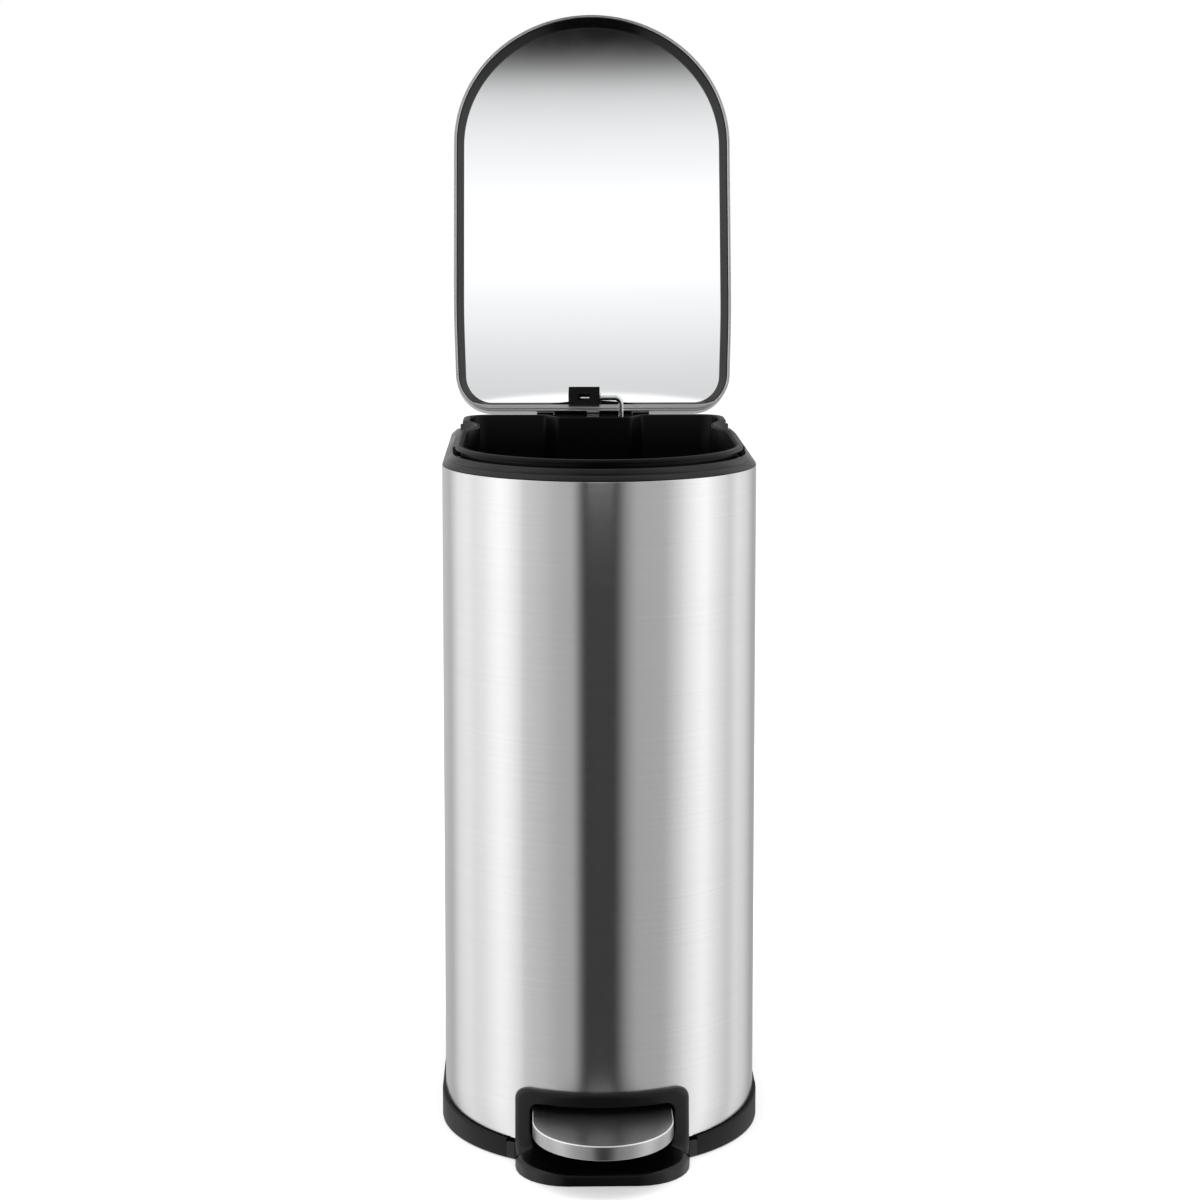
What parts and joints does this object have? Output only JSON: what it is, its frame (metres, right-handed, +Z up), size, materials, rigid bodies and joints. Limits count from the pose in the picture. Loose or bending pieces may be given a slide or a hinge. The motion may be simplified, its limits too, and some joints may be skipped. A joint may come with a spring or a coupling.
{
  "type": "pedal trash can",
  "caption": "Tall slim step bin with a brushed steel body, curved front, lift-up lid, lift-out inner bucket and a front foot pedal.",
  "frame": {"origin": "on the floor, at the centre of the ellipse of the front arch, in the middle of the base's round seat", "axes": "+Z up, -Y towards the front and the pedal, +X to the right of someone who looks along +Y"},
  "size_m": [0.276, 0.5726, 0.976],
  "materials": {
    "brushed_steel": "horizontally brushed stainless steel",
    "lid_steel": "brushed stainless steel lid skin",
    "polished_steel": "polished steel panel inside the lid",
    "black_plastic": "fine textured black polypropylene",
    "satin_black_plastic": "satin black polypropylene",
    "gloss_black_plastic": "smooth black plastic",
    "bucket_plastic": "black polypropylene bucket",
    "rubber": "soft rubber feet",
    "zinc_steel": "zinc plated steel",
    "chrome_wire": "nickel plated wire"
  },
  "bodies": {
    "body": {"outer_shell": "brushed_steel", "base_ring": "black_plastic", "base_floor": "black_plastic", "foot_pad_1": "rubber", "foot_pad_2": "rubber", "foot_pad_3": "rubber", "foot_pad_4": "rubber", "pedal_housing": "black_plastic", "pivot_bracket_left": "zinc_steel", "pivot_bracket_right": "zinc_steel", "bracket_screw_left_1": "zinc_steel", "bracket_screw_left_2": "zinc_steel", "bracket_screw_right_1": "zinc_steel", "bracket_screw_right_2": "zinc_steel", "axle_clip_left": "zinc_steel", "axle_clip_right": "zinc_steel", "pivot_axle": "zinc_steel", "return_spring": "zinc_steel", "rod_guide": "black_plastic", "top_collar": "satin_black_plastic", "bag_rim": "satin_black_plastic", "inner_bucket": "bucket_plastic", "rear_hinge_housing": "black_plastic", "hinge_pin": "zinc_steel", "hinge_screw_1": "zinc_steel", "hinge_screw_2": "zinc_steel", "hinge_screw_3": "zinc_steel", "hinge_screw_4": "zinc_steel"},
    "lid": {"lid_shell": "lid_steel", "lid_frame": "gloss_black_plastic", "lid_liner": "polished_steel", "lid_hinge_plate": "black_plastic", "lid_rod_bracket": "black_plastic", "lid_knuckles": "black_plastic", "lid_screw_1": "zinc_steel", "lid_screw_2": "zinc_steel", "lid_screw_3": "zinc_steel", "lid_screw_4": "zinc_steel"},
    "push_rod": {"push_rod": "chrome_wire", "rod_retainer": "chrome_wire"},
    "pedal": {"pedal_plate": "brushed_steel", "pedal_core": "black_plastic", "pedal_lever": "zinc_steel", "lever_fork": "zinc_steel", "pedal_rivet_1": "zinc_steel", "pedal_rivet_2": "zinc_steel"}
  },
  "joints": [
    {"name": "lid_hinge", "type": "hinge", "parent": "body", "child": "lid", "pos_m": [0, 0.26665, 0.5889], "axis": [1, 0, 0], "range_deg": [0, 102]},
    {"name": "rod_pivot", "type": "hinge", "parent": "lid", "child": "push_rod", "pos_m": [0, 0.2543, 0.608], "axis": [1, 0, 0], "range_deg": [-102, 0]},
    {"name": "pedal_press", "type": "hinge", "parent": "body", "child": "pedal", "pos_m": [0, -0.02, 0.0195], "axis": [1, 0, 0], "range_deg": [0, 7], "stiffness_Nm_per_rad": 2, "springref_deg": -8.59, "deforming": ["return_spring"]}
  ],
  "couplings": [
    {"joint": "rod_pivot", "follows": "lid_hinge", "ratio": -1}
  ]
}
